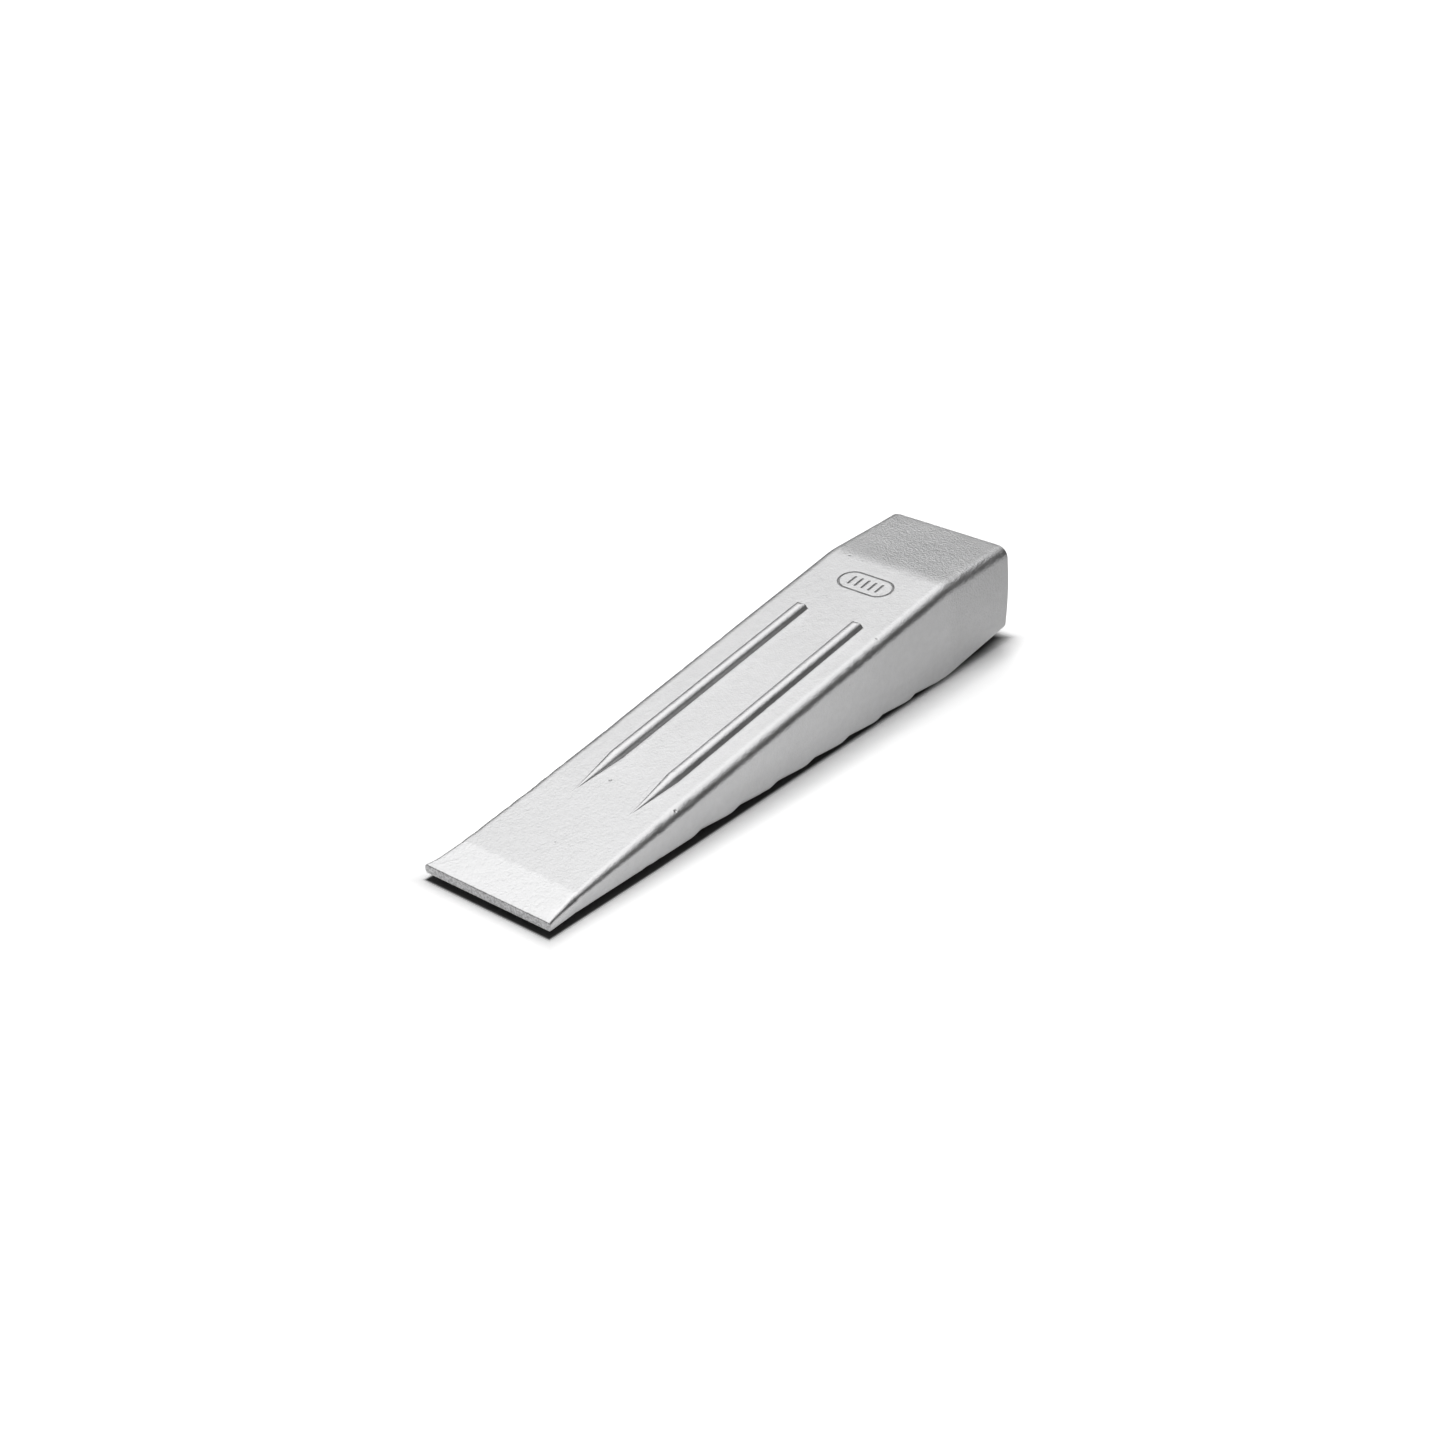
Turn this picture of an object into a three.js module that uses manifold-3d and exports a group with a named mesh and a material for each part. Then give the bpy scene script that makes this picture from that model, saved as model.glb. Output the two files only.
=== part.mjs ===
// A drop-forged aluminium felling wedge, one solid piece, lying on its barbed underside.
//
// The forging is described in its own axes: u runs along its length from the tip to the head, v across its
// width, and w through its thickness, with w = 0 on the plane where the two halves of the die met. The mesh
// keeps those axes and is turned by half the wedge angle, so that the underside lies level on z = 0.
// Millimetres, +Z up, tip towards -X.

import * as THREE from 'three';
import { mergeVertices } from 'three/addons/utils/BufferGeometryUtils.js';
import Module from 'manifold-3d';

// ---- driving dimensions -------------------------------------------------------------------------------

const LENGTH = 263; // tip to strike face, along u
const BEVEL_WIDTH = 52.5; // across the parting line; the sides open a little from the bevel to the chamfer
const MAX_WIDTH = 57;
const HEAD_WIDTH = 55.9;
const TIP_FLARE = 1.2; // the hammered-out tip is this much wider on each side
const FLARE_POWER = 1.5;

const TIP_THICKNESS = 3.5; // the blunt front face
const BEVEL_LENGTH = 15.8; // the steeper bevel behind it
const BEVEL_THICKNESS = 6.6; // where the bevel meets the kerf faces
const CHAMFER_START = 221.6; // where the kerf faces end and the head chamfers begin
const MAX_THICKNESS = 40; // at the chamfer's start
const HEAD_THICKNESS = 35.5; // at the strike face

const SIDE_CROWN = 0.05; // how far a side falls back at its edges, as a share of the half thickness
const CROWN_POWER = 1.7;
const STRIKE_EDGE_RADIUS = 1.4;
const EDGE_RADII = [
  [0, 1.1],
  [25, 2.7],
  [50, 3.6],
  [80, 4.2],
  [170, 4.2],
  [205, 4.6],
  [LENGTH, 4.6],
]; // radius of the two upper long edges at places along u
const LOWER_EDGE = 0.5; // the lower edges are this much sharper

const BARB_COUNT = 7;
const FIRST_BARB = 71.5;
const BARB_PITCH = 20.9;
const BARB_DEPTH = 1;
const BARB_STEP = 4.5; // length of the steep face, which looks towards the head
const BARB_LAND = 3; // flat left between one barb and the next

const RIB_CENTRES = [11.5, -13.5]; // where the ribs' crests stand across the wedge
const RIB_WIDTH = 5.1;
const RIB_HEIGHT = 2.43;
const RIB_BLUNTNESS = 0.8; // exponent of the bead's section: 1 is an ellipse, less is squarer
const RIB_POINT = 54; // the ribs rise out of the face here
const RIB_FULL = 77; // and reach their full size here
const RIB_END = 183.6;
const RIB_END_RADIUS = 1.2;
const RIB_END_SIZE = 0.55; // share of a rib's section left at its rounded end
const RIB_FOOT = 1.2; // how deep a rib's foot is sunk into the face
const LEAST_HALF_BEAD = 0.02; // half width left at a rib's point

const MARK_CENTRE_U = 207.2;
const MARK_LENGTH = 23.6; // across the wedge
const MARK_HEIGHT = 12; // along the wedge
const MARK_LINE = 0.8; // width of the stamped line
const MARK_DEPTH = 0.7;
const STROKE_COUNT = 5;
const STROKE_PITCH = 3.1;
const STROKE_LENGTH = 6;
const STROKE_LINE = 1.1;

const ARC_STEPS = 4; // straight segments in each rounded edge
const SIDE_STEPS = 4; // and in each crowned side
const BEVEL_STEPS = 4;
const RIB_STEPS = 8;
const RIB_RISE_STEPS = 5;
const RIB_END_STEPS = 3;

// ---- worked-out dimensions ----------------------------------------------------------------------------

const HALF_ANGLE = Math.atan((MAX_THICKNESS - BEVEL_THICKNESS) / 2 / (CHAMFER_START - BEVEL_LENGTH));
const UNDERSIDE_Z = BEVEL_LENGTH * Math.sin(HALF_ANGLE) - (BEVEL_THICKNESS / 2) * Math.cos(HALF_ANGLE);
const STRIKE_HALF_HEIGHT = HEAD_THICKNESS / 2 - STRIKE_EDGE_RADIUS;
const CENTRE_X = (LENGTH * Math.cos(HALF_ANGLE) + STRIKE_HALF_HEIGHT * Math.sin(HALF_ANGLE)) / 2;

// ---- outlines of the forging --------------------------------------------------------------------------

/** The value at u on a line through [u, value] corners. */
function along(corners, u) {
  const { lerp, inverseLerp } = THREE.MathUtils;
  const next = corners.findIndex(([cornerU], i) => i > 0 && u <= cornerU);
  const [u0, value0] = corners[next - 1];
  const [u1, value1] = corners[next];
  return lerp(value0, value1, inverseLerp(u0, u1, u));
}

/** Height of the kerf face, bevel or chamfer above the parting plane. */
function halfThickness(u) {
  const thickness = [
    [0, TIP_THICKNESS],
    [BEVEL_LENGTH, BEVEL_THICKNESS],
    [CHAMFER_START, MAX_THICKNESS],
    [LENGTH, HEAD_THICKNESS],
  ];
  return along(thickness, u) / 2;
}

/** Half width at the parting plane, with the flare at the tip. */
function halfWidth(u) {
  const width = [
    [0, BEVEL_WIDTH],
    [BEVEL_LENGTH, BEVEL_WIDTH],
    [CHAMFER_START, MAX_WIDTH],
    [LENGTH, HEAD_WIDTH],
  ];
  const flare = TIP_FLARE * Math.max(0, 1 - u / BEVEL_LENGTH) ** FLARE_POWER;
  return along(width, u) / 2 + flare;
}

function edgeRadius(u) {
  return along(EDGE_RADII, u);
}

/** How far the underside is cut back at u by the saw-tooth barbs. */
function barbDepth(u) {
  const past = u - FIRST_BARB;
  if (past <= 0 || past >= BARB_COUNT * BARB_PITCH) return 0;
  const inPitch = past % BARB_PITCH;
  const ramp = BARB_PITCH - BARB_LAND - BARB_STEP;
  if (inPitch <= BARB_STEP) return (BARB_DEPTH * inPitch) / BARB_STEP;
  return BARB_DEPTH * Math.max(0, 1 - (inPitch - BARB_STEP) / ramp);
}

/** Equal shares from 0 to 1. */
function shares(steps) {
  return Array.from({ length: steps + 1 }, (_, i) => i / steps);
}

/** The places along u where some outline turns a corner. */
function bodyStations() {
  const bevel = shares(BEVEL_STEPS).map((t) => t * BEVEL_LENGTH);
  const barbs = [];
  for (let i = 0; i < BARB_COUNT; i += 1) {
    const start = FIRST_BARB + i * BARB_PITCH;
    barbs.push(start, start + BARB_STEP, start + BARB_PITCH - BARB_LAND);
  }
  const radii = EDGE_RADII.map(([u]) => u).filter((u) => u > BEVEL_LENGTH && u < LENGTH);
  const stations = [...bevel, ...radii, ...barbs, CHAMFER_START, LENGTH - STRIKE_EDGE_RADIUS];
  return stations.sort((a, b) => a - b);
}

// ---- geometry helpers ---------------------------------------------------------------------------------

/** A closed solid through rings of equal length, each turning anticlockwise as seen from the next one. */
function loft(rings) {
  const size = rings[0].length;
  const positions = rings.flat().flatMap((p) => [p.x, p.y, p.z]);
  const index = [];
  for (let r = 0; r < rings.length - 1; r += 1) {
    for (let i = 0; i < size; i += 1) {
      const a = r * size + i;
      const b = r * size + ((i + 1) % size);
      index.push(a, b, b + size, a, b + size, a + size);
    }
  }
  const last = (rings.length - 1) * size;
  for (let i = 1; i < size - 1; i += 1) {
    index.push(0, i + 1, i);
    index.push(last, last + i, last + i + 1);
  }
  const geometry = new THREE.BufferGeometry();
  geometry.setAttribute('position', new THREE.Float32BufferAttribute(positions, 3));
  geometry.setIndex(index);
  return geometry;
}

const wasm = await Module();
wasm.setup();

/** A closed geometry as a solid that can be joined and cut. */
function toSolid(geometry) {
  const bare = geometry.clone();
  bare.deleteAttribute('normal');
  bare.deleteAttribute('uv');
  const merged = mergeVertices(bare, 1e-4);
  return new wasm.Manifold(
    new wasm.Mesh({
      numProp: 3,
      vertProperties: new Float32Array(merged.attributes.position.array),
      triVerts: new Uint32Array(merged.index.array),
    }),
  );
}

/** A finished solid as a geometry. */
function toGeometry(solid) {
  const mesh = solid.getMesh();
  const geometry = new THREE.BufferGeometry();
  geometry.setAttribute('position', new THREE.BufferAttribute(mesh.vertProperties, 3));
  geometry.setIndex(new THREE.BufferAttribute(mesh.triVerts, 1));
  geometry.computeVertexNormals();
  return geometry;
}

// ---- the forging's body -------------------------------------------------------------------------------

/** One quarter of a section: from the crowned side up and round the edge, as [v, w]. */
function sectionQuarter(u, face, inset, radius) {
  const sideTop = face - radius;
  const nominal = halfThickness(u);
  const sideAt = (w) => halfWidth(u) - inset - SIDE_CROWN * nominal * (w / nominal) ** CROWN_POWER;
  const points = [];
  for (let i = 0; i < SIDE_STEPS / 2; i += 1) {
    const w = (sideTop * i) / (SIDE_STEPS / 2);
    points.push([sideAt(w), w]);
  }
  for (let i = 0; i <= ARC_STEPS; i += 1) {
    const turn = (Math.PI / 2) * (i / ARC_STEPS);
    points.push([sideAt(sideTop) - radius * (1 - Math.cos(turn)), sideTop + radius * Math.sin(turn)]);
  }
  return points;
}

/** The whole section at u, drawn in by inset where the strike face's edge is rounded. */
function sectionRing(u, inset = 0) {
  const radius = edgeRadius(u) - inset / 2;
  const upper = sectionQuarter(u, halfThickness(u) - inset, inset, radius);
  const lower = sectionQuarter(u, halfThickness(u) - barbDepth(u) - inset, inset, LOWER_EDGE * radius);
  const outline = [
    ...upper,
    ...upper.slice(1).reverse().map(([v, w]) => [-v, w]),
    ...lower.map(([v, w]) => [-v, -w]),
    ...lower.slice(1).reverse().map(([v, w]) => [v, -w]),
  ];
  return outline.map(([v, w]) => new THREE.Vector3(u, v, w));
}

function bodyGeometry() {
  const rings = bodyStations().map((u) => sectionRing(u));
  for (let i = 1; i <= ARC_STEPS; i += 1) {
    const turn = (Math.PI / 2) * (i / ARC_STEPS);
    const u = LENGTH - STRIKE_EDGE_RADIUS * (1 - Math.sin(turn));
    rings.push(sectionRing(u, STRIKE_EDGE_RADIUS * (1 - Math.cos(turn))));
  }
  return loft(rings);
}

// ---- ribs on the upper face ---------------------------------------------------------------------------

/** A rib's section at u: a low round bead whose foot is sunk into the upper face. */
function ribRing(u, centreV, size) {
  const halfBead = Math.max(LEAST_HALF_BEAD, (RIB_WIDTH / 2) * size);
  const face = halfThickness(u);
  const ring = [];
  for (let i = 0; i <= RIB_STEPS; i += 1) {
    const turn = Math.PI * (i / RIB_STEPS);
    const height = RIB_HEIGHT * size * Math.sin(turn) ** RIB_BLUNTNESS;
    ring.push(new THREE.Vector3(u, centreV + halfBead * Math.cos(turn), face + height));
  }
  ring.push(new THREE.Vector3(u, centreV - halfBead, face - RIB_FOOT));
  ring.push(new THREE.Vector3(u, centreV + halfBead, face - RIB_FOOT));
  return ring;
}

function ribGeometry(centreV) {
  const rings = [];
  for (const t of shares(RIB_RISE_STEPS)) {
    const u = THREE.MathUtils.lerp(RIB_POINT, RIB_FULL, t);
    rings.push(ribRing(u, centreV, t));
  }
  for (const t of shares(RIB_END_STEPS)) {
    const turn = (Math.PI / 2) * t;
    const u = RIB_END - RIB_END_RADIUS * (1 - Math.sin(turn));
    rings.push(ribRing(u, centreV, 1 - (1 - RIB_END_SIZE) * (1 - Math.cos(turn))));
  }
  return loft(rings);
}

// ---- stamped mark near the head -----------------------------------------------------------------------

function stadium(length, height) {
  const radius = height / 2;
  const straight = length / 2 - radius;
  const outline = new THREE.Path();
  outline.absarc(straight, 0, radius, -Math.PI / 2, Math.PI / 2, false);
  outline.absarc(-straight, 0, radius, Math.PI / 2, (3 * Math.PI) / 2, false);
  return outline.getPoints(8);
}

/** Flat shapes in the mark's own plane, x across the wedge and y towards the head. */
function markShapes() {
  const border = new THREE.Shape(stadium(MARK_LENGTH, MARK_HEIGHT));
  border.holes.push(new THREE.Path(stadium(MARK_LENGTH - 2 * MARK_LINE, MARK_HEIGHT - 2 * MARK_LINE)));
  const shapes = [border];
  for (let i = 0; i < STROKE_COUNT; i += 1) {
    const x = (i - (STROKE_COUNT - 1) / 2) * STROKE_PITCH;
    const bar = new THREE.Shape();
    bar.moveTo(x - STROKE_LINE / 2, -STROKE_LENGTH / 2);
    bar.lineTo(x + STROKE_LINE / 2, -STROKE_LENGTH / 2);
    bar.lineTo(x + STROKE_LINE / 2, STROKE_LENGTH / 2);
    bar.lineTo(x - STROKE_LINE / 2, STROKE_LENGTH / 2);
    bar.closePath();
    shapes.push(bar);
  }
  return shapes;
}

/** The cutter for the mark, lying in the upper kerf face and reaching above it. */
function markGeometry() {
  const clearance = 1;
  const geometry = new THREE.ExtrudeGeometry(markShapes(), {
    depth: MARK_DEPTH + clearance,
    bevelEnabled: false,
  });
  geometry.translate(0, 0, -MARK_DEPTH);
  geometry.rotateZ(-Math.PI / 2);
  geometry.rotateY(-HALF_ANGLE);
  geometry.translate(MARK_CENTRE_U, 0, halfThickness(MARK_CENTRE_U));
  return geometry;
}

// ---- assembly -----------------------------------------------------------------------------------------

/** Shot-blasted bare aluminium. */
function forgedAluminium() {
  return new THREE.MeshStandardMaterial({ color: 0xd2d3d4, roughness: 0.5, metalness: 0.9 });
}

function wedgeBody() {
  const ribs = RIB_CENTRES.map((centreV) => toSolid(ribGeometry(centreV)));
  const solid = wasm.Manifold.union([toSolid(bodyGeometry()), ...ribs]).subtract(toSolid(markGeometry()));
  const mesh = new THREE.Mesh(toGeometry(solid), forgedAluminium());
  mesh.name = 'wedge_body';
  mesh.rotation.y = -HALF_ANGLE;
  mesh.position.set(-CENTRE_X, 0, -UNDERSIDE_Z);
  return mesh;
}

const fellingWedge = new THREE.Group();
fellingWedge.add(wedgeBody());

export default fellingWedge;
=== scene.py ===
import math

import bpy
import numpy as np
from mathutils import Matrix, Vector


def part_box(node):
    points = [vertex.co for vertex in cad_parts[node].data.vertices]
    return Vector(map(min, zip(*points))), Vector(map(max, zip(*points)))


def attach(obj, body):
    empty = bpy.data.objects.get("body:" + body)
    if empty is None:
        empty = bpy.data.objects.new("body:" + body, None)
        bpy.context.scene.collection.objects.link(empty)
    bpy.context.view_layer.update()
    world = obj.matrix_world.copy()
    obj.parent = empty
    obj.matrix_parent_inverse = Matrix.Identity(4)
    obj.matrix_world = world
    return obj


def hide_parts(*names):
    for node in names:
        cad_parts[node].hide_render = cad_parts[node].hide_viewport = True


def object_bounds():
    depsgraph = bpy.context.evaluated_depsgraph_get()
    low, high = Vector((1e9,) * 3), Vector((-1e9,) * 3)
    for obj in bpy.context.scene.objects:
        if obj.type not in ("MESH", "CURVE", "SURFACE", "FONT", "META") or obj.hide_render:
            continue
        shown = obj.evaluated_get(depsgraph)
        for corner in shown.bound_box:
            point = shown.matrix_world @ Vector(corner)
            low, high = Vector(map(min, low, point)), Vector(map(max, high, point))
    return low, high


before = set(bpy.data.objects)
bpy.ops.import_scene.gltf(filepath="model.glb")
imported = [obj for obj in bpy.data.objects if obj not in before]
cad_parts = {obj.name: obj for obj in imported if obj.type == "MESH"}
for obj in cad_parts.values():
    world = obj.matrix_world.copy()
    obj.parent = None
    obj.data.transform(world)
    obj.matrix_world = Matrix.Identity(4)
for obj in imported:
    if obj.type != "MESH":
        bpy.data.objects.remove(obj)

# The looks of a drop-forged aluminium felling wedge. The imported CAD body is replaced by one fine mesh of
# the same forging: rounded ribs, a stamped mark, barbs with soft crests, worn edges and a shot-blasted
# skin.
#
# The forging is described in its own axes, in millimetres: u runs from the tip to the head, v across the
# width, and w through the thickness, with w = 0 on the plane where the two halves of the die met. It is
# turned by half the wedge angle to lie level on its underside, and placed by the CAD body's box.

MM = 0.001
RANDOM_SEED = 41

cad_lo, cad_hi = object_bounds()
body_lo, body_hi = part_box("wedge_body")
centre = (cad_lo + cad_hi) / 2


# ---- camera --------------------------------------------------------------------------------------

CAMERA_OFFSET = Vector((-0.5697, -0.4435, 0.3878))  # from the middle of the wedge's box, in metres
CAMERA_YAW = math.radians(38.547)
CAMERA_PITCH = math.radians(28.835)
CAMERA_ROLL = math.radians(-0.416)
LENS = 57.83
SENSOR_WIDTH = 36


def add_camera():
    data = bpy.data.cameras.new("camera")
    data.lens = LENS
    data.sensor_width = SENSOR_WIDTH
    data.clip_start, data.clip_end = 0.01, 100
    camera = bpy.data.objects.new("camera", data)
    ahead = Vector((
        math.cos(CAMERA_PITCH) * math.cos(CAMERA_YAW),
        math.cos(CAMERA_PITCH) * math.sin(CAMERA_YAW),
        -math.sin(CAMERA_PITCH),
    ))
    turn = ahead.to_track_quat("-Z", "Y").to_matrix() @ Matrix.Rotation(-CAMERA_ROLL, 3, "Z")
    camera.matrix_world = Matrix.Translation(centre + CAMERA_OFFSET) @ turn.to_4x4()
    bpy.context.scene.collection.objects.link(camera)
    bpy.context.scene.camera = camera


# ---- the forging's dimensions, in millimetres ----------------------------------------------------

LENGTH = 263.0
BEVEL_WIDTH = 52.5  # the sides open a little from the tip's bevel to the head's chamfer
MAX_WIDTH = 57.0
HEAD_WIDTH = 55.9
TIP_FLARE = 1.2  # the hammered-out tip is this much wider on each side
FLARE_POWER = 1.5
TIP_THICKNESS = 3.5
BEVEL_LENGTH = 15.8
BEVEL_THICKNESS = 6.6
CHAMFER_START = 221.6
MAX_THICKNESS = 40.0
HEAD_THICKNESS = 35.5

BEVEL_BLEND = 1.2  # half the length over which the bevel turns into the kerf face
CHAMFER_BLEND = 3.2
TIP_EDGE_RADIUS = 0.45
STRIKE_EDGE_RADIUS = 1.4
EDGE_RADIUS_AT = (0, 25, 50, 80, 170, 205)  # places along u
EDGE_RADIUS = (1.1, 2.7, 3.6, 4.2, 4.2, 4.6)  # of the two upper long edges, at each
LOWER_EDGE = 0.5  # the lower edges are this much sharper than the upper ones
SIDE_CROWN = 0.05  # how far a side falls back at its edges, as a share of the half thickness
CROWN_POWER = 1.7
BURR = 0.9  # the tip's left corner is drawn out a little further
BURR_REACH = 3.0  # along u
BURR_FROM_V = 20.0
BURR_WIDTH = 7.0
TIP_CROWN = 0.5  # how far the blunt tip's sides fall back above and below the parting plane
TIP_CROWN_REACH = 9.0

BARB_COUNT = 7
FIRST_BARB = 71.5
BARB_PITCH = 20.9
BARB_DEPTH = 1.0
BARB_DEPTH_AT_EDGE = 0.35
BARB_STEP = 4.5  # length of the steep face, which looks towards the head
BARB_LAND = 3.0  # flat left between one barb and the next
BARB_SOFTNESS = 0.7
BARB_SAMPLE = 0.1  # spacing of the points on which the barbs are softened
BARB_FADE = 0.3  # share of the half width over which a barb gets its full depth
BARB_EDGE_EASE = 1.5  # the lower edge is rounder by this much for each mm that a barb is cut

RIB_CENTRES = (11.4, -13.6)
RIB_HALF_WIDTH = 2.85
RIB_HEIGHT = 2.4
RIB_POINT = 54.0  # the ribs rise out of the face here
RIB_FULL = 77.0  # and reach their full size here
RIB_END = 183.6
RIB_CORNER = 1.3  # radius of the blunt end's corners in plan
RIB_RISE_POWER = 1.25
LEAST_RIB = 1e-3  # share of a rib's width kept before its point, where it has no height

MARK_CENTRE_U = 207.2
MARK_CENTRE_V = 0.0
MARK_LENGTH = 23.6  # across the wedge
MARK_HEIGHT = 12.0  # along the wedge
MARK_LINE = 0.95
MARK_DEPTH = 0.7
STROKE_COUNT = 5
STROKE_PITCH = 3.1
STROKE_LENGTH = 6.0
STROKE_LINE = 1.1

HALF_ANGLE = math.atan((MAX_THICKNESS - BEVEL_THICKNESS) / 2 / (CHAMFER_START - BEVEL_LENGTH))


def corner(distance, blend):
    """Zero before a corner and equal to the distance past it, rounded over blend on each side."""
    eased = (distance + blend) ** 2 / (4 * blend)
    return np.where(distance < -blend, 0, np.where(distance > blend, distance, eased))


def half_thickness(u):
    """Height of the bevel, kerf face or head chamfer above the parting plane."""
    bevel = (BEVEL_THICKNESS - TIP_THICKNESS) / 2 / BEVEL_LENGTH
    kerf = math.tan(HALF_ANGLE)
    chamfer = (HEAD_THICKNESS - MAX_THICKNESS) / 2 / (LENGTH - CHAMFER_START)
    height = TIP_THICKNESS / 2 + bevel * u
    height = height + (kerf - bevel) * corner(u - BEVEL_LENGTH, BEVEL_BLEND)
    return height + (chamfer - kerf) * corner(u - CHAMFER_START, CHAMFER_BLEND)


def half_width(u):
    """Half width at the parting plane."""
    opening = (MAX_WIDTH - BEVEL_WIDTH) / (CHAMFER_START - BEVEL_LENGTH)
    closing = (HEAD_WIDTH - MAX_WIDTH) / (LENGTH - CHAMFER_START)
    width = BEVEL_WIDTH + opening * (u - BEVEL_LENGTH)
    width = width + (closing - opening) * corner(u - CHAMFER_START, CHAMFER_BLEND)
    return width / 2 + TIP_FLARE * np.maximum(0, 1 - u / BEVEL_LENGTH) ** FLARE_POWER


def edge_radius(u):
    return np.interp(u, EDGE_RADIUS_AT, EDGE_RADIUS)


def barb_profile(u):
    """Saw-tooth cut of the underside at u, from 0 to 1, with its crests and valleys softened."""
    margin = 5
    whole = BARB_COUNT * BARB_PITCH
    fine = np.arange(FIRST_BARB - margin, FIRST_BARB + whole + margin, BARB_SAMPLE)
    along = fine - FIRST_BARB
    in_pitch = np.mod(along, BARB_PITCH)
    ramp = BARB_PITCH - BARB_LAND - BARB_STEP
    cut = np.where(in_pitch <= BARB_STEP, in_pitch / BARB_STEP, 1 - (in_pitch - BARB_STEP) / ramp)
    cut = np.where((along <= 0) | (along >= whole), 0, np.maximum(cut, 0))
    reach = 3
    from_middle = np.arange(-reach, reach + BARB_SAMPLE / 2, BARB_SAMPLE)
    kernel = np.exp(-((from_middle / BARB_SOFTNESS) ** 2) / 2)
    cut = np.convolve(cut, kernel / kernel.sum(), mode="same")
    return np.interp(u, fine, cut, left=0, right=0)


# ---- ribs and mark, as heights above the upper kerf face -----------------------------------------


def rib_section():
    """Height against distance in from a rib's foot, both as shares of the full size."""
    foot, shoulder, crest = 0.22, 2.3, 2.6  # radii, one after another from the foot to the top
    steep, shallow = math.radians(80), math.radians(26)
    flank = 0.35  # height of the straight part between the foot and the shoulder
    x, y = [0.0], [0.0]

    def arc(radius, start, stop, steps=8):
        for i in range(steps):
            a = start + (stop - start) * i / steps
            b = start + (stop - start) * (i + 1) / steps
            x.append(x[-1] + radius * abs(math.sin(b) - math.sin(a)))
            y.append(y[-1] + radius * abs(math.cos(b) - math.cos(a)))

    arc(foot, 0, steep)
    x.append(x[-1] + flank / math.tan(steep))
    y.append(y[-1] + flank)
    arc(shoulder, steep, shallow)
    arc(crest, shallow, 0)
    return np.array(x) / x[-1], np.array(y) / y[-1]


RIB_X, RIB_Y = rib_section()


def rib_size(u):
    """Share of its full width that a rib has at u, rising from its point."""
    return np.clip((u - RIB_POINT) / (RIB_FULL - RIB_POINT), 0, 1)


def rib_height(u, v):
    """Height of the two ribs above the face, with a pointed rise and a blunt end."""
    total = np.zeros_like(u * v)
    size = rib_size(u)
    half = RIB_HALF_WIDTH * np.maximum(size, LEAST_RIB)
    from_end = RIB_END - u
    near_end = np.maximum(RIB_CORNER - from_end, 0)
    for centre_v in RIB_CENTRES:
        from_side = half - np.abs(v - centre_v)
        near_side = np.maximum(RIB_CORNER - from_side, 0)
        in_corner = (near_side > 0) & (near_end > 0)
        from_corner = RIB_CORNER - np.hypot(near_side, near_end)
        from_edge = np.where(in_corner, from_corner, np.minimum(from_side, from_end))
        share = np.clip(np.where(u > RIB_FULL, from_edge, from_side) / half, 0, 1)
        total = total + RIB_HEIGHT * size**RIB_RISE_POWER * np.interp(share, RIB_X, RIB_Y)
    return total


def mark_depth(u, v):
    """Depth of the stamped stadium and the five plain strokes inside it."""
    along, across = u - MARK_CENTRE_U, v - MARK_CENTRE_V
    radius = MARK_HEIGHT / 2 - MARK_LINE / 2
    straight = MARK_LENGTH / 2 - MARK_HEIGHT / 2
    from_line = np.abs(np.hypot(along, np.maximum(np.abs(across) - straight, 0)) - radius)
    for i in range(STROKE_COUNT):
        offset = across - (i - (STROKE_COUNT - 1) / 2) * STROKE_PITCH
        beyond = np.maximum(np.abs(along) - (STROKE_LENGTH - STROKE_LINE) / 2, 0)
        from_line = np.minimum(from_line, np.hypot(offset, beyond) * MARK_LINE / STROKE_LINE)
    share = np.clip(1 - from_line / (MARK_LINE / 2), 0, 1)
    return MARK_DEPTH * share * share * (3 - 2 * share)


# ---- the lofted mesh -----------------------------------------------------------------------------

SIDE_SHARES = (0, 0.22, 0.42, 0.6, 0.75, 0.87, 0.95)  # places up a side, from the parting plane
ARC_STEPS = 10
OUTER_SHARES = np.array([0.15, 0.32, 0.5, 0.68, 0.84, 0.95])  # between a rib's outer foot and the edge
RIB_ZONE = 3.15  # half width of the closely spaced columns over a rib
RIB_COLUMNS = 32
LEAST_ZONE = 0.12  # share of that zone kept at a rib's point
ZONE_OPENS = 30.0  # and it opens out again over this length towards the tip
MIDDLE_COLUMNS = 90
LOWER_SHARES = np.linspace(-1, 1, 38)[1:-1]
NOSE_STEPS = 5
STRIKE_STEPS = 8
CAP_SHARES = (0.97, 0.85, 0.6)  # sizes of the rings inside the tip's face and the strike face

WAVINESS = 0.05  # the most that the die's unevenness cuts in
WAVE_COUNT = 24
WAVE_LENGTHS = (45.0, 14.0)
KNOCK_COUNT = 80
KNOCK_END = LENGTH - 6  # the strike face's edge has none
KNOCK_SIZE = (0.6, 1.7)
KNOCK_DEPTH = (0.05, 0.22)
KNOCK_INSET = 0.3  # share of the edge's radius that a knock's middle lies inside the corner
KNOCK_HEIGHT = 0.8  # a knock is this share as high as it is long


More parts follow.
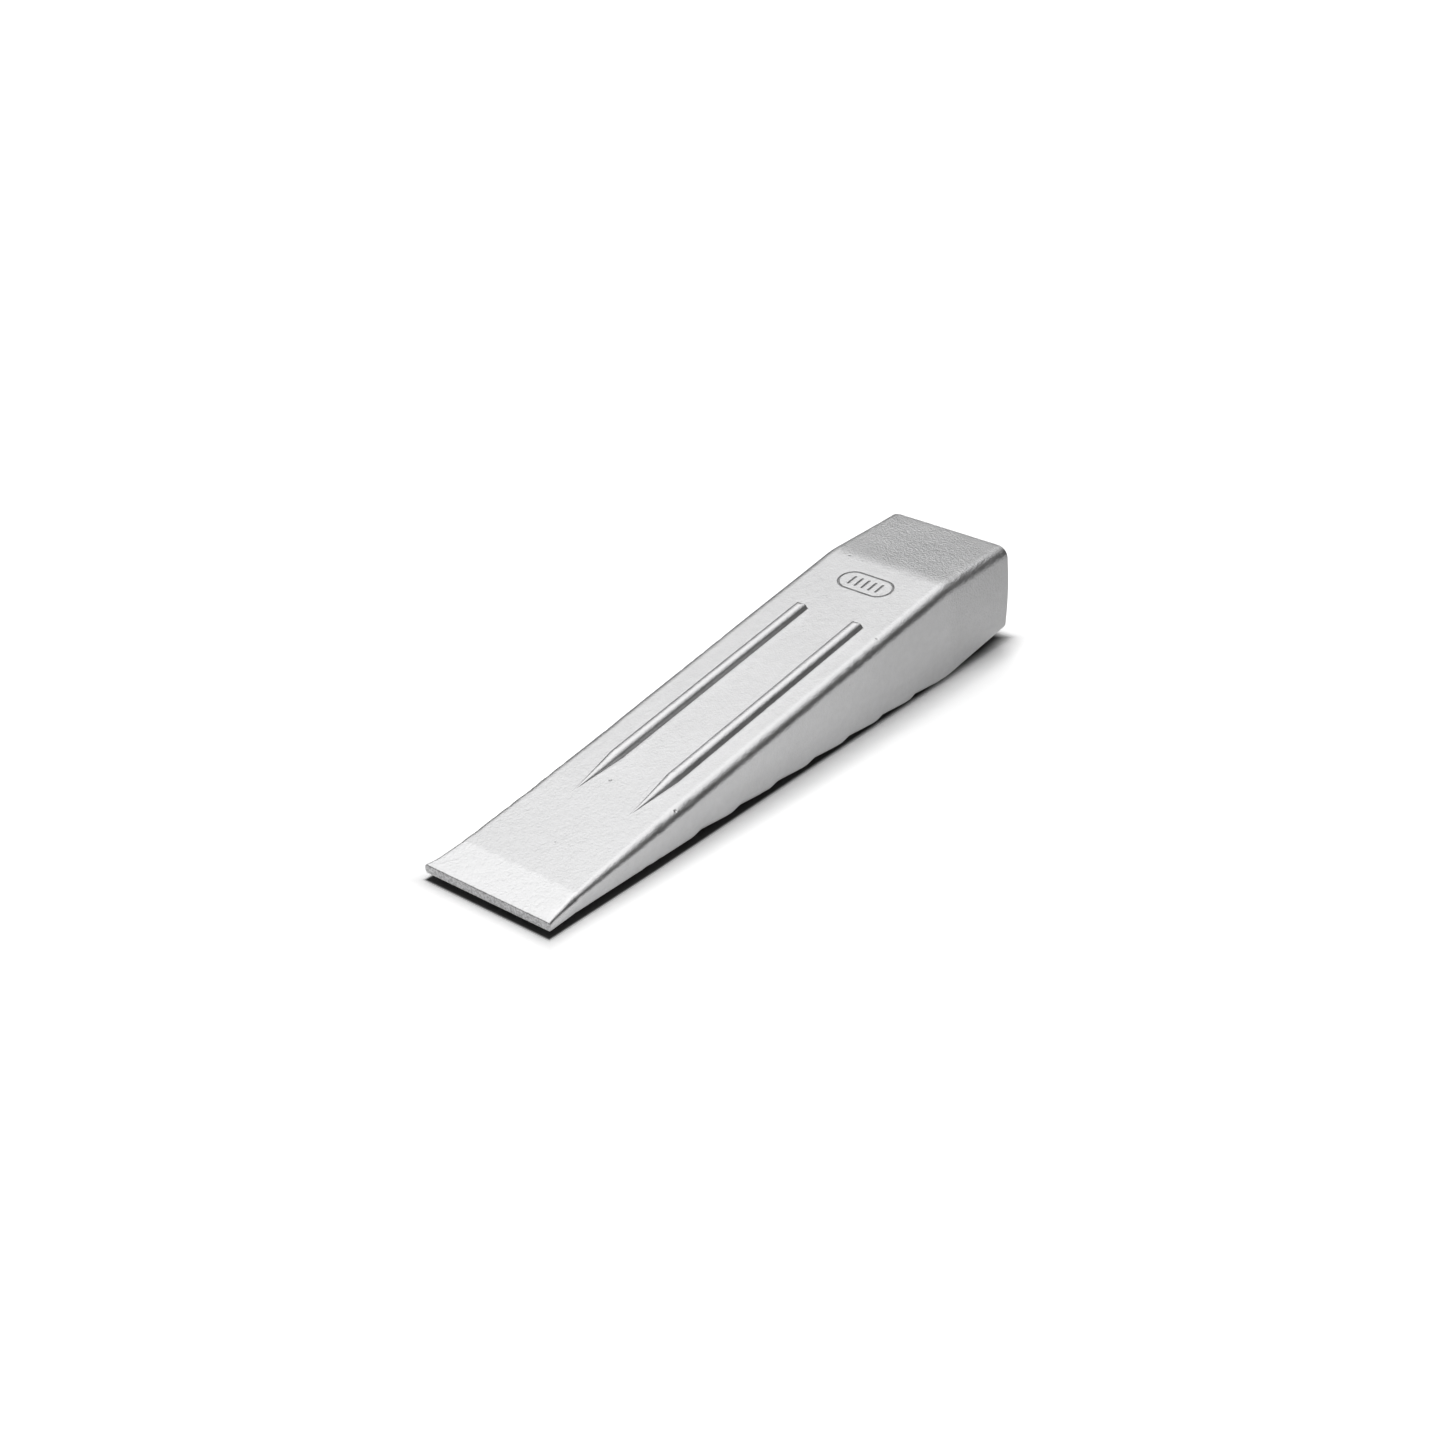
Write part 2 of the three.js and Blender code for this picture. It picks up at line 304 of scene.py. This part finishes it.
def stations():
    """Where the sections stand along u, close together where the surface turns."""
    spans = [
        (TIP_EDGE_RADIUS, 13, 1.2), (13, 18, 0.4), (18, RIB_POINT, 1.5), (RIB_POINT, RIB_FULL, 0.6),
        (RIB_FULL, 182, 0.7), (182, 184, 0.14), (184, 200, 0.8), (200, 214, 0.2), (214, 218, 0.7),
        (218, 226, 0.5), (226, LENGTH - STRIKE_EDGE_RADIUS, 2),
    ]
    u = [np.linspace(a, b, max(2, round((b - a) / step) + 1))[:-1] for a, b, step in spans]
    return np.concatenate(u)


def all_rows():
    """Every section's u, and how far it is drawn in at the tip's and the strike face's rounded edges."""
    nose = np.linspace(0, math.pi / 2, NOSE_STEPS + 1)[:-1]
    strike = np.linspace(0, math.pi / 2, STRIKE_STEPS + 1)
    body = stations()
    u = np.concatenate([
        TIP_EDGE_RADIUS * (1 - np.cos(nose)),
        body,
        LENGTH - STRIKE_EDGE_RADIUS * (1 - np.sin(strike)),
    ])
    inset = np.concatenate([
        TIP_EDGE_RADIUS * (1 - np.sin(nose)),
        np.zeros(len(body)),
        STRIKE_EDGE_RADIUS * (1 - np.cos(strike)),
    ])
    return u, inset


def quarter(u, inset, face, radius):
    """One quarter of each section, up the side from the parting plane and round the edge: v and w."""
    nominal = half_thickness(u)
    tip_crown = TIP_CROWN * np.exp(-u / TIP_CROWN_REACH)
    crown = SIDE_CROWN * nominal + tip_crown

    def side_at(w):
        return half_width(u) - inset - crown * (w / nominal) ** CROWN_POWER

    lean = np.arctan(crown / nominal * CROWN_POWER * ((face - radius) / nominal) ** (CROWN_POWER - 1))
    arc_centre_w = face - radius
    arc_start_w = arc_centre_w + radius * np.sin(lean)
    arc_centre_v = side_at(arc_start_w) - radius * np.cos(lean)
    v, w = [], []
    for share in SIDE_SHARES:
        v.append(side_at(arc_start_w * share))
        w.append(arc_start_w * share)
    for i in range(ARC_STEPS + 1):
        turn = lean + (math.pi / 2 - lean) * i / ARC_STEPS
        v.append(arc_centre_v + radius * np.cos(turn))
        w.append(arc_centre_w + radius * np.sin(turn))
    return np.stack(v, axis=1), np.stack(w, axis=1)


def upper_columns(u, edge_v):
    """The v of each column across the upper face, following the ribs' outlines where they taper."""
    left, right = RIB_CENTRES
    widening = np.clip((RIB_POINT - u) / ZONE_OPENS, 0, 1)
    zone = RIB_ZONE * np.maximum(np.maximum(rib_size(u), LEAST_ZONE), widening)
    rib = np.linspace(1, -1, RIB_COLUMNS + 1)
    middle = np.linspace(0, 1, MIDDLE_COLUMNS + 1)[1:-1]
    rows = []
    for edge, reach in zip(edge_v, zone):
        over_left, over_right = left + rib * reach, right + rib * reach
        between = over_left[-1] + middle * (over_right[0] - over_left[-1])
        beyond_left = over_left[0] + OUTER_SHARES[::-1] * (edge - over_left[0])
        beyond_right = over_right[-1] + OUTER_SHARES * (-edge - over_right[-1])
        rows.append(np.concatenate([beyond_left, over_left, between, over_right, beyond_right]))
    return np.array(rows)


def sections():
    """The whole forging as an array of rows and columns of points (u, v, w)."""
    u, inset = all_rows()
    face = half_thickness(u) - inset
    radius = edge_radius(u) - inset / 2
    barb = barb_profile(u)
    upper_v, upper_w = quarter(u, inset, face, radius)
    lower_face = face - BARB_DEPTH_AT_EDGE * barb
    lower_v, lower_w = quarter(u, inset, lower_face, LOWER_EDGE * radius + BARB_EDGE_EASE * barb)

    top_v = upper_columns(u, upper_v[:, -1])
    column_u = u[:, None]
    top_w = np.repeat(face[:, None], top_v.shape[1], axis=1)
    top_w = top_w + rib_height(column_u, top_v) - mark_depth(column_u, top_v)

    bottom_v = LOWER_SHARES[None, :] * lower_v[:, -1:]
    fade = np.clip((1 - np.abs(LOWER_SHARES)) / BARB_FADE, 0, 1)
    fade = fade * fade * (3 - 2 * fade)
    deeper = (BARB_DEPTH - BARB_DEPTH_AT_EDGE) * barb[:, None] * fade[None, :]
    bottom_w = -(lower_face[:, None] - deeper)

    v = np.concatenate([
        upper_v, top_v, -upper_v[:, ::-1],
        -lower_v[:, 1:], bottom_v, lower_v[:, :0:-1],
    ], axis=1)
    w = np.concatenate([
        upper_w, top_w, upper_w[:, ::-1],
        -lower_w[:, 1:], bottom_w, -lower_w[:, :0:-1],
    ], axis=1)
    drawn_out = np.exp(-((column_u / BURR_REACH) ** 2))
    v = v + BURR * drawn_out * np.clip((v - BURR_FROM_V) / BURR_WIDTH, 0, 1) ** 2
    return np.stack([np.broadcast_to(column_u, v.shape), v, w], axis=2)


def row_normals(grid):
    """Outward normals of the lofted grid."""
    around = np.roll(grid, -1, axis=1) - np.roll(grid, 1, axis=1)
    along = np.gradient(grid, axis=0)
    normal = np.cross(around, along)
    length = np.linalg.norm(normal, axis=2, keepdims=True)
    return normal / np.maximum(length, 1e-12)


def waves(points, count, longest, shortest, rng):
    """A smooth uneven field over space, from 0 to 1, made of plane waves."""
    total = np.zeros(points.shape[:-1])
    for _ in range(count):
        direction = rng.normal(size=3)
        direction /= np.linalg.norm(direction)
        wavelength = math.exp(rng.uniform(math.log(shortest), math.log(longest)))
        total += np.sin(points @ direction * (2 * math.pi / wavelength) + rng.uniform(0, 2 * math.pi))
    return np.clip(0.5 + total / (3 * math.sqrt(count)), 0, 1)


def worn(grid):
    """The grid with the die's slight unevenness and small knocks on its edges, always cut inwards."""
    rng = np.random.default_rng(RANDOM_SEED)
    normal = row_normals(grid)
    cut = WAVINESS * waves(grid, WAVE_COUNT, *WAVE_LENGTHS, rng)
    for _ in range(KNOCK_COUNT):
        u = rng.uniform(TIP_EDGE_RADIUS, KNOCK_END)
        side, level = rng.choice([-1, 1]), rng.choice([-1, 1])
        inset = KNOCK_INSET * float(edge_radius(u))
        v = side * (float(half_width(u)) - inset)
        w = level * (float(half_thickness(u)) - inset)
        size = rng.uniform(*KNOCK_SIZE)
        depth = rng.uniform(*KNOCK_DEPTH)
        squared = (((grid - [u, v, w]) / [size, size, size * KNOCK_HEIGHT]) ** 2).sum(axis=2)
        cut += depth * np.exp(-squared)
    return grid - normal * cut[:, :, None]


def placed(grid):
    """Wedge axes in millimetres to the row frame in metres, by the CAD body's box."""
    sin, cos = math.sin(HALF_ANGLE), math.cos(HALF_ANGLE)
    far_x = LENGTH * cos + (HEAD_THICKNESS / 2 - STRIKE_EDGE_RADIUS) * sin
    underside_z = BEVEL_LENGTH * sin - BEVEL_THICKNESS / 2 * cos
    u, v, w = grid[..., 0], grid[..., 1], grid[..., 2]
    x = (u * cos - w * sin - far_x) * MM + body_hi.x
    y = v * MM + (body_lo.y + body_hi.y) / 2
    z = (u * sin + w * cos - underside_z) * MM + body_lo.z
    return np.stack([x, y, z], axis=-1)


def capped_faces(rows, columns, tip_start, strike_start, inner_rings):
    """Quads round the loft, rings on both end faces, and one flat face inside each."""
    faces = []
    for r in range(rows - 1):
        for i in range(columns):
            j = (i + 1) % columns
            a, b = r * columns + i, r * columns + j
            faces.append((a, b, b + columns, a + columns))
    last = (rows - 1) * columns
    for outer_start, ring_start, flip in ((0, tip_start, True), (last, strike_start, False)):
        outer = outer_start
        for k in range(inner_rings):
            inner = ring_start + k * columns
            for i in range(columns):
                j = (i + 1) % columns
                quad = (outer + i, outer + j, inner + j, inner + i)
                faces.append(quad[::-1] if flip else quad)
            outer = inner
        cap = tuple(range(outer, outer + columns))
        faces.append(cap[::-1] if flip else cap)
    return faces


def wedge_mesh():
    grid = worn(sections())
    rows, columns = grid.shape[:2]
    tip_rings = [grid[0] * [1, share, share] for share in CAP_SHARES]
    strike_rings = [grid[-1] * [1, share, share] for share in CAP_SHARES]
    points = np.concatenate([grid.reshape(-1, 3), *tip_rings, *strike_rings])
    tip_start = rows * columns
    strike_start = tip_start + len(CAP_SHARES) * columns
    faces = capped_faces(rows, columns, tip_start, strike_start, len(CAP_SHARES))
    mesh = bpy.data.meshes.new("forged_wedge")
    mesh.from_pydata(placed(points).tolist(), [], faces)
    mesh.polygons.foreach_set("use_smooth", [True] * len(mesh.polygons))
    mesh.update()
    add_fields(mesh, points)
    return mesh


EDGE_WEAR = (0.75, 0.6)  # reach of the wear from a corner: a share of the edge's radius, and a length
CREST_WEAR = 0.6  # wear on the ribs' crests, as a share of that on the edges
BEVEL_SOFTNESS = 0.8  # length over which the ground bevel's colour ends
NOSE_LENGTH = 0.6  # the blunt front face and its rounded edge
NOSE_SOFTNESS = 0.5


def add_fields(mesh, points):
    """Point attributes for the material, from 0 to 1, which say how strongly each look applies."""
    u, v, w = points.T
    from_corner = np.hypot(half_width(u) - np.abs(v), half_thickness(u) - np.abs(w))
    edge = np.clip(1 - from_corner / (edge_radius(u) * EDGE_WEAR[0] + EDGE_WEAR[1]), 0, 1)
    upper = w > 0
    crest = np.clip(rib_height(u, v) / RIB_HEIGHT, 0, 1) ** 3 * upper
    ragged = 0.4 * np.sin(0.7 * v + 1) + 0.25 * np.sin(1.9 * v) + 0.12 * np.sin(4.7 * v + 2)
    fields = {
        "edge": np.maximum(edge, CREST_WEAR * crest),
        # where the material paints shade into the stamped lines
        "recess": mark_depth(u, v) / MARK_DEPTH * upper,
        "bevel": np.clip((BEVEL_LENGTH + ragged - u) / BEVEL_SOFTNESS + 0.5, 0, 1),
        "chamfer": np.clip((u - CHAMFER_START) / (2 * CHAMFER_BLEND) + 0.5, 0, 1),
        # where the material paints shade onto the blunt front face
        "nose": np.clip((NOSE_LENGTH - u) / NOSE_SOFTNESS, 0, 1),
    }
    for name, values in fields.items():
        attribute = mesh.attributes.new(name, "FLOAT", "POINT")
        attribute.data.foreach_set("value", values.astype(np.float32))


# ---- materials -----------------------------------------------------------------------------------


class Nodes:
    """A short way to write a node tree."""

    def __init__(self, tree):
        self.tree = tree
        tree.nodes.clear()

    def add(self, kind, inputs=None, **settings):
        node = self.tree.nodes.new(kind)
        for name, value in settings.items():
            setattr(node, name, value)
        for name, value in (inputs or {}).items():
            if isinstance(value, bpy.types.NodeSocket):
                self.tree.links.new(value, node.inputs[name])
            else:
                node.inputs[name].default_value = value
        return node

    def math(self, operation, a, b=0.0, c=0.0):
        return self.add("ShaderNodeMath", {0: a, 1: b, 2: c}, operation=operation).outputs[0]

    def span(self, value, low, high, out_low=0.0, out_high=1.0, smooth=False):
        """The value mapped from one range to another, and clamped."""
        inputs = {
            "Value": value,
            "From Min": low, "From Max": high,
            "To Min": out_low, "To Max": out_high,
        }
        kind = "SMOOTHSTEP" if smooth else "LINEAR"
        node = self.add("ShaderNodeMapRange", inputs, interpolation_type=kind, clamp=True)
        return node.outputs["Result"]

    def noise(self, place, scale, detail=2.0, roughness=0.5):
        inputs = {"Vector": place, "Scale": scale, "Detail": detail, "Roughness": roughness}
        return self.add("ShaderNodeTexNoise", inputs).outputs["Fac"]

    def grey(self, red, blue=None):
        """A colour with the same red and green, and a blue of its own if one is given."""
        inputs = {"Red": red, "Green": red, "Blue": red if blue is None else blue}
        return self.add("ShaderNodeCombineColor", inputs).outputs["Color"]

    def field(self, name):
        return self.add("ShaderNodeAttribute", attribute_name=name).outputs["Fac"]


CLOUD_SCALE = 45  # sizes of the noises, in cells per metre
MOTTLE_SCALE = 330
GRAIN_SCALE = 1100
FINE_SCALE = 4200
STREAK_SCALE = 2600
STREAK_STRETCH = (1, 0.06, 1)  # grinding marks on the tip's bevel, drawn out across the wedge
PIT_SCALE = 150
PIT_RARITY = (0.80, 0.82)  # only cells with a random value past this hold a pit
PIT_RADIUS = (0.11, 0.03)  # from a pit's rim to its flat bottom

BASE_SHADE = 0.80
CLOUD_SHADE = 0.02
MOTTLE_SHADE = 0.03
EDGE_SHADE = 0.02
PIT_SHADE = 0.12
# painted shade in the stamped lines
RECESS_PAINTED_SHADE = 0.45
BEVEL_SHADE = 0.05
# painted shade on the blunt front face, speckled by the grain
NOSE_PAINTED_SHADE = (0.06, 0.34)  # speckled, from least to most
COOLNESS = 1.005  # blue over red

ROUGHNESS = (0.36, 0.42)
CLOUD_ROUGHNESS = 0.015
EDGE_POLISH = 0.05
BEVEL_POLISH = 0.03

GRAIN_RELIEF = 0.00012  # heights of the relief, in metres
CHAMFER_RELIEF = 0.00020  # added to the grain on the head's chamfer
FINE_RELIEF = 0.000014
MOTTLE_RELIEF = 0.00009
STREAK_RELIEF = 0.000006
PIT_RELIEF = 0.00022


def pits(n, place):
    """Sparse pits: the middles of a few cells, small and sharp."""
    cells = n.add("ShaderNodeTexVoronoi", {"Vector": place, "Scale": PIT_SCALE}, feature="F1")
    random = n.add("ShaderNodeSeparateColor", {"Color": cells.outputs["Color"]}).outputs[0]
    hollow = n.span(cells.outputs["Distance"], *PIT_RADIUS, 0, 1, True)
    return n.math("MULTIPLY", hollow, n.span(random, *PIT_RARITY))


def forged_aluminium():
    material = bpy.data.materials.new("forged_aluminium")
    material.use_nodes = True
    n = Nodes(material.node_tree)
    place = n.add("ShaderNodeTexCoord").outputs["Object"]
    names = ("edge", "recess", "bevel", "chamfer", "nose")
    edge, recess, bevel, chamfer, nose = (n.field(name) for name in names)

    clouds = n.noise(place, CLOUD_SCALE, 3)
    mottle = n.noise(place, MOTTLE_SCALE, 4, 0.6)
    grain = n.noise(place, GRAIN_SCALE, 3, 0.6)
    fine = n.noise(place, FINE_SCALE, 2, 0.6)
    pit = pits(n, place)

    # Colour: bright bare metal, duller in patches, with painted shade in the stamped lines and on the blunt
    # front face.
    patches = n.span(clouds, 0.35, 0.65, -CLOUD_SHADE, CLOUD_SHADE)
    shade = n.math("ADD", patches, n.span(mottle, 0.3, 0.7, -MOTTLE_SHADE, MOTTLE_SHADE))
    shade = n.math("ADD", shade, n.span(edge, 0, 1, 0, EDGE_SHADE))
    shade = n.math("SUBTRACT", shade, n.math("MULTIPLY", pit, PIT_SHADE))
    # Painted shade in the stamped lines.
    shade = n.math("SUBTRACT", shade, n.math("MULTIPLY", recess, RECESS_PAINTED_SHADE))
    shade = n.math("ADD", shade, n.math("MULTIPLY", bevel, BEVEL_SHADE))
    # Painted shade on the blunt front face, speckled by the grain.
    painted_nose_shade = n.span(grain, 0.4, 0.6, *NOSE_PAINTED_SHADE)
    shade = n.math("SUBTRACT", shade, n.math("MULTIPLY", nose, painted_nose_shade))
    level = n.math("ADD", BASE_SHADE, shade)
    colour = n.grey(level, n.math("MULTIPLY", level, COOLNESS))

    # Roughness: shot-blasted skin, burnished where edges have been knocked, finer on the ground bevel.
    uneven = n.span(clouds, 0.35, 0.65, -CLOUD_ROUGHNESS, CLOUD_ROUGHNESS)
    rough = n.math("ADD", n.span(mottle, 0.3, 0.7, *ROUGHNESS), uneven)
    rough = n.math("SUBTRACT", rough, n.math("MULTIPLY", edge, EDGE_POLISH))
    rough = n.math("SUBTRACT", rough, n.math("MULTIPLY", bevel, BEVEL_POLISH))

    # Relief, in metres.
    stretched = n.add("ShaderNodeMapping", {"Vector": place, "Scale": STREAK_STRETCH}).outputs["Vector"]
    streaks = n.math("MULTIPLY", n.noise(stretched, STREAK_SCALE, 2), bevel)
    coarseness = n.math("MULTIPLY_ADD", chamfer, CHAMFER_RELIEF, GRAIN_RELIEF)
    relief = n.math("MULTIPLY", grain, coarseness)
    relief = n.math("ADD", relief, n.math("MULTIPLY", fine, FINE_RELIEF))
    relief = n.math("ADD", relief, n.math("MULTIPLY", mottle, MOTTLE_RELIEF))
    relief = n.math("ADD", relief, n.math("MULTIPLY", streaks, STREAK_RELIEF))
    relief = n.math("SUBTRACT", relief, n.math("MULTIPLY", pit, PIT_RELIEF))
    bump_inputs = {"Height": relief, "Strength": 1.0, "Distance": 1.0}
    bump = n.add("ShaderNodeBump", bump_inputs).outputs["Normal"]

    shader = n.add("ShaderNodeBsdfPrincipled", {
        "Base Color": colour, "Metallic": 1.0, "Roughness": rough, "Normal": bump,
    })
    n.add("ShaderNodeOutputMaterial", {"Surface": shader.outputs[0]})
    return material


# Places with AT_X in their names lie along the wedge, in metres.
# painted shade in the reflection: the floor the metal sees is darker towards the head, which darkens the
# wedge's side there
FLOOR_SHADE = (1.16, 0.83)  # as the metal sees it, dimmer towards and past the head
FLOOR_FADE_AT_X = (0.02, 0.18)
FLOOR_EXPOSURE = (1.45, 2.25)  # the backdrop is exposed to pure white away from the wedge
# painted shade: the camera's exposure of the floor is lower close to the wedge, and lower still by the
# raised head as a painted shadow
EXPOSURE_REACH = 0.012  # beyond the contact patch
HEAD_SHADOW = 0.58  # the exposure is this much less close to the raised head
HEAD_SHADOW_AT_X = (0.100, 0.134, 0.142)
# painted contact shadow: the floor's colour beneath the wedge, not a cast shadow
PAINTED_CONTACT_SHADOW = 0.04  # the contact patch under the wedge is nearly black
CONTACT_AT_X = (-0.080, 0.080, 0.134)
CONTACT_HALF = (0.0275, 0.0255, 0.0245)  # its half width at each place
CONTACT_BLUR = (0.0015, 0.0032, 0.0080)  # width of its soft edge, wider where the head stands off the floor
CONTACT_AHEAD = 0.0008  # the patch begins this far in front of the tip
CONTACT_BEHIND = 0.0055  # and ends this far behind the head


def floor_material():
    """A white floor. The camera alone sees it exposed to white, with a dark painted contact shadow and
    painted shade close to the wedge and its head; the metal sees it darker towards the head, as painted
    shade.
    """
    material = bpy.data.materials.new("studio_floor")
    material.use_nodes = True
    n = Nodes(material.node_tree)
    place = n.add("ShaderNodeTexCoord").outputs["Object"]
    x, y = n.add("ShaderNodeSeparateXYZ", {"Vector": place}).outputs[0:2]

    def at_x(first, middle, last):
        early = n.span(x, *CONTACT_AT_X[:2], first, middle)
        return n.math("ADD", early, n.span(x, *CONTACT_AT_X[1:], 0, last - middle))

    # The painted contact shadow: a dark patch following the wedge's footprint, soft at its edge.
    beyond_tip = n.math("SUBTRACT", body_lo.x - CONTACT_AHEAD, x)
    beyond_head = n.math("SUBTRACT", x, body_hi.x + CONTACT_BEHIND)
    beyond_x = n.math("MAXIMUM", beyond_tip, beyond_head)
    beyond_y = n.math("SUBTRACT", n.math("ABSOLUTE", y), at_x(*CONTACT_HALF))
    outside = n.math("MAXIMUM", beyond_x, beyond_y)
    softly = n.math("DIVIDE", outside, at_x(*CONTACT_BLUR))
    painted_shadow = n.span(softly, -0.5, 0.5, PAINTED_CONTACT_SHADOW, 1, True)

    # Painted shade and painted shadow: the camera's exposure is lower near the wedge and near its raised
    # head.
    shadow = n.math("SUBTRACT", n.span(x, *HEAD_SHADOW_AT_X[:2]), n.span(x, *HEAD_SHADOW_AT_X[1:]))
    close = n.math("MULTIPLY_ADD", shadow, -HEAD_SHADOW, FLOOR_EXPOSURE[0])
    exposure = n.span(outside, 0, EXPOSURE_REACH, close, FLOOR_EXPOSURE[1])
    for_camera = n.math("MULTIPLY", painted_shadow, exposure)
    # Painted shade in the reflection on the wedge's side: the floor the metal sees is darker towards and
    # past the head.
    for_metal = n.span(x, *FLOOR_FADE_AT_X, *FLOOR_SHADE)
    seen = n.add("ShaderNodeLightPath").outputs["Is Camera Ray"]
    shade = n.math("MULTIPLY_ADD", seen, n.math("SUBTRACT", for_camera, for_metal), for_metal)
    shader = n.add("ShaderNodeBsdfDiffuse", {"Color": n.grey(shade)})
    n.add("ShaderNodeOutputMaterial", {"Surface": shader.outputs[0]})
    return material


# ---- stage ---------------------------------------------------------------------------------------

FLOOR_SIZE = 24.0
FLOOR_DROP = 0.0018

LIGHT_LEVEL = 1.39
AMBIENT = 0.015
FILL_LEVEL = 0.5  # from behind the camera
BACKDROP_LEVEL = 1.2

# Places in the sky are given as on a ceiling one unit up: depth away from the camera, and across to its
# right. A fade goes from one place to another, and a level that follows is where it starts.
LEFT_FADE = (-1.5, -0.6, 0.05)
FAR_FADES = ((1.8, 0.85, 0.2), (5.0, 2.5, 0.3))
OVERHEAD_FADE = (0.0, 0.85, 0.8)
NEAR_FADE = (-0.7, -0.1, 0)
RIGHT_FADE = (1.4, 0.15)
RIGHT_FADE_TURN = 0.45  # the softbox's right side closes in by this much for each unit of depth past one
FILL_FADE = (-0.9, -1.6)
HORIZON_FADE = (0.05, 0.3)  # in height, where straight up is one


def add_floor():
    half = FLOOR_SIZE / 2
    corners = [(-half, -half, 0), (half, -half, 0), (half, half, 0), (-half, half, 0)]
    mesh = bpy.data.meshes.new("studio_floor")
    mesh.from_pydata(corners, [], [(0, 1, 2, 3)])
    mesh.materials.append(floor_material())
    floor = bpy.data.objects.new("studio_floor", mesh)
    floor.location.z = cad_lo.z - FLOOR_DROP
    bpy.context.scene.collection.objects.link(floor)


def light_world():
    """A broad overhead softbox and a dim fill behind the camera. The camera sees a white backdrop."""
    world = bpy.data.worlds.new("studio")
    bpy.context.scene.world = world
    world.use_nodes = True
    n = Nodes(world.node_tree)
    sky = n.add("ShaderNodeTexCoord").outputs["Generated"]
    away = Vector((math.cos(CAMERA_YAW), math.sin(CAMERA_YAW), 0))
    right = Vector((math.sin(CAMERA_YAW), -math.cos(CAMERA_YAW), 0))

    def along(axis):
        return n.add("ShaderNodeVectorMath", {0: sky, 1: axis}, operation="DOT_PRODUCT").outputs["Value"]

    up = n.math("MAXIMUM", along(Vector((0, 0, 1))), 0.02)
    depth = n.math("DIVIDE", along(away), up)
    across = n.math("DIVIDE", along(right), up)
    above_horizon = n.span(up, *HORIZON_FADE, 0, 1, True)

    past_one = n.math("MAXIMUM", n.math("SUBTRACT", depth, 1), 0)
    turned = n.math("MULTIPLY_ADD", past_one, RIGHT_FADE_TURN, across)
    box = n.span(turned, *RIGHT_FADE, 0, 1, True)
    box = n.math("MULTIPLY", box, n.span(across, *LEFT_FADE, 1, True))
    for fade in FAR_FADES:
        box = n.math("MULTIPLY", box, n.span(depth, *fade, 1, True))
    box = n.math("MULTIPLY", box, n.span(depth, *OVERHEAD_FADE, 1))
    box = n.math("MULTIPLY", box, n.span(depth, *NEAR_FADE, 1, True))
    box = n.math("MULTIPLY", box, above_horizon)
    fill = n.math("MULTIPLY", n.span(depth, *FILL_FADE, 0, FILL_LEVEL, True), above_horizon)
    light = n.math("ADD", n.math("MULTIPLY_ADD", box, LIGHT_LEVEL, AMBIENT), fill)
    white = (1, 1, 1, 1)
    lit = n.add("ShaderNodeBackground", {"Color": white, "Strength": light}).outputs[0]
    backdrop = n.add("ShaderNodeBackground", {"Color": white, "Strength": BACKDROP_LEVEL}).outputs[0]
    seen = n.add("ShaderNodeLightPath").outputs["Is Camera Ray"]
    mix = n.add("ShaderNodeMixShader", {0: seen, 1: lit, 2: backdrop}).outputs[0]
    n.add("ShaderNodeOutputWorld", {"Surface": mix})


# ---- the scene -----------------------------------------------------------------------------------

add_camera()
add_floor()
light_world()
bpy.context.scene.view_settings.view_transform = "Standard"

mesh = wedge_mesh()
mesh.materials.append(forged_aluminium())
wedge = bpy.data.objects.new("forged_wedge", mesh)
bpy.context.scene.collection.objects.link(wedge)
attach(wedge, "root")
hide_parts("wedge_body")
